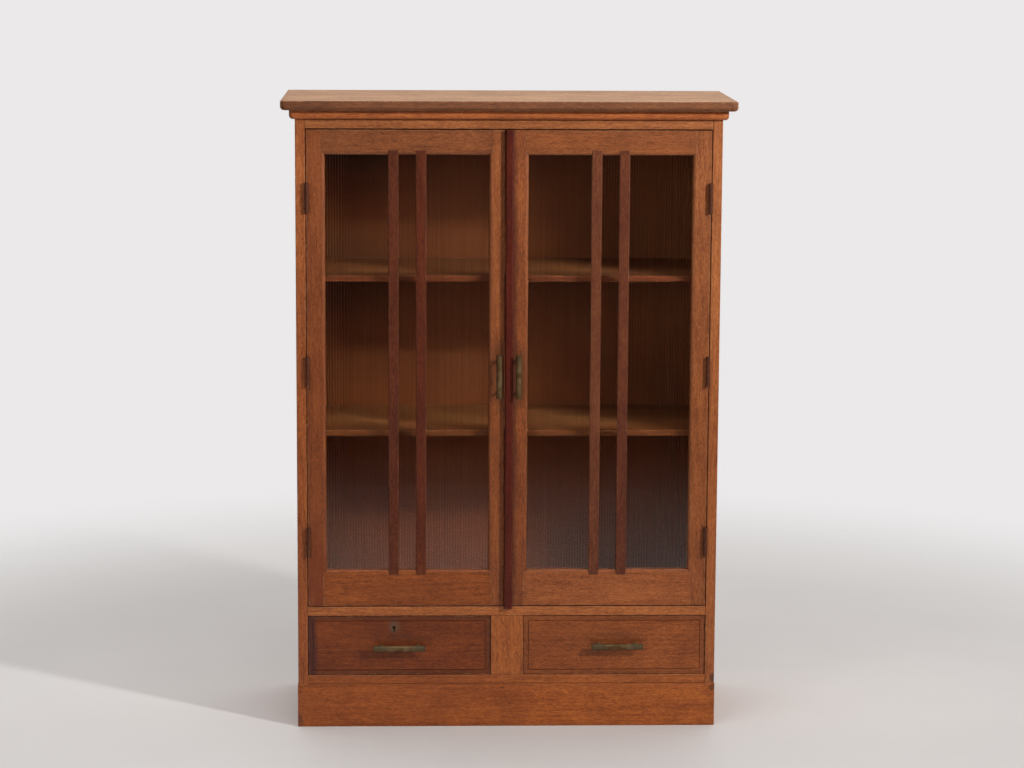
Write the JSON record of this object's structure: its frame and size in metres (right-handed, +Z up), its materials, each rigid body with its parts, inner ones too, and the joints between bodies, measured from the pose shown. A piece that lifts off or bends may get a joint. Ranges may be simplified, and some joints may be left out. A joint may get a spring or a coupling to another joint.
{
  "type": "display cabinet",
  "caption": "Tall glazed display cabinet: framed doors with reeded panes and glazing bars over drawers, inner shelves, moulded top and plinth.",
  "frame": {"origin": "on the floor, in the middle of the cabinet's width and depth over the top board", "axes": "+X to the viewer's right, +Y from the front to the back, +Z up"},
  "size_m": [1.066, 0.44, 1.503],
  "materials": {
    "oak": "stained and polished oak, worn",
    "red_oak": "dark red stained oak, polished",
    "inner_oak": "plain oak, unpolished",
    "reeded_glass": "clear, with fine upright reeds",
    "aged_brass": "aged, dark patina",
    "dark_iron": "dark, oiled"
  },
  "bodies": {
    "case": {"side_left": "oak", "side_right": "oak", "top_board": "oak", "cornice_board": "oak", "frieze_rail": "oak", "door_stop": "inner_oak", "waist_rail": "oak", "cabinet_floor": "inner_oak", "drawer_stile": "oak", "drawer_partition": "inner_oak", "base_rail": "oak", "bottom_board": "inner_oak", "plinth_front": "oak", "back_foot_rail": "inner_oak", "back_panel": "inner_oak", "upper_shelf": "inner_oak", "lower_shelf": "inner_oak", "upper_bearer_left": "inner_oak", "upper_bearer_right": "inner_oak", "lower_bearer_left": "inner_oak", "lower_bearer_right": "inner_oak", "left_top_hinge_frame_leaf": "dark_iron", "left_middle_hinge_frame_leaf": "dark_iron", "left_bottom_hinge_frame_leaf": "dark_iron", "right_top_hinge_frame_leaf": "dark_iron", "right_middle_hinge_frame_leaf": "dark_iron", "right_bottom_hinge_frame_leaf": "dark_iron"},
    "left_door": {"left_door_hinge_stile": "oak", "left_door_meeting_stile": "oak", "left_door_top_rail": "oak", "left_door_bottom_rail": "oak", "left_door_pane": "reeded_glass", "left_door_glazing_bead": "inner_oak", "left_door_left_bar": "red_oak", "left_door_right_bar": "red_oak", "left_door_pull": "aged_brass", "left_top_hinge_door_leaf": "dark_iron", "left_middle_hinge_door_leaf": "dark_iron", "left_bottom_hinge_door_leaf": "dark_iron"},
    "right_door": {"right_door_hinge_stile": "oak", "right_door_meeting_stile": "oak", "right_door_top_rail": "oak", "right_door_bottom_rail": "oak", "right_door_pane": "reeded_glass", "right_door_glazing_bead": "inner_oak", "right_door_left_bar": "red_oak", "right_door_right_bar": "red_oak", "right_door_pull": "aged_brass", "right_top_hinge_door_leaf": "dark_iron", "right_middle_hinge_door_leaf": "dark_iron", "right_bottom_hinge_door_leaf": "dark_iron", "meeting_bead": "red_oak"},
    "left_drawer": {"left_drawer_front": "oak", "left_drawer_box": "inner_oak", "left_drawer_pull": "aged_brass", "left_drawer_lock": "aged_brass"},
    "right_drawer": {"right_drawer_front": "oak", "right_drawer_box": "inner_oak", "right_drawer_pull": "aged_brass"}
  },
  "joints": [
    {"name": "left_door_hinge", "type": "hinge", "parent": "case", "child": "left_door", "pos_m": [-0.4732, -0.1903, 0.86475], "axis": [0, 0, -1], "range_deg": [0, 170]},
    {"name": "right_door_hinge", "type": "hinge", "parent": "case", "child": "right_door", "pos_m": [0.4732, -0.1903, 0.86475], "axis": [0, 0, 1], "range_deg": [0, 170]},
    {"name": "left_drawer_slide", "type": "slide", "parent": "case", "child": "left_drawer", "axis": [0, -1, 0], "range_m": [0, 0.28]},
    {"name": "right_drawer_slide", "type": "slide", "parent": "case", "child": "right_drawer", "axis": [0, -1, 0], "range_m": [0, 0.28]}
  ]
}
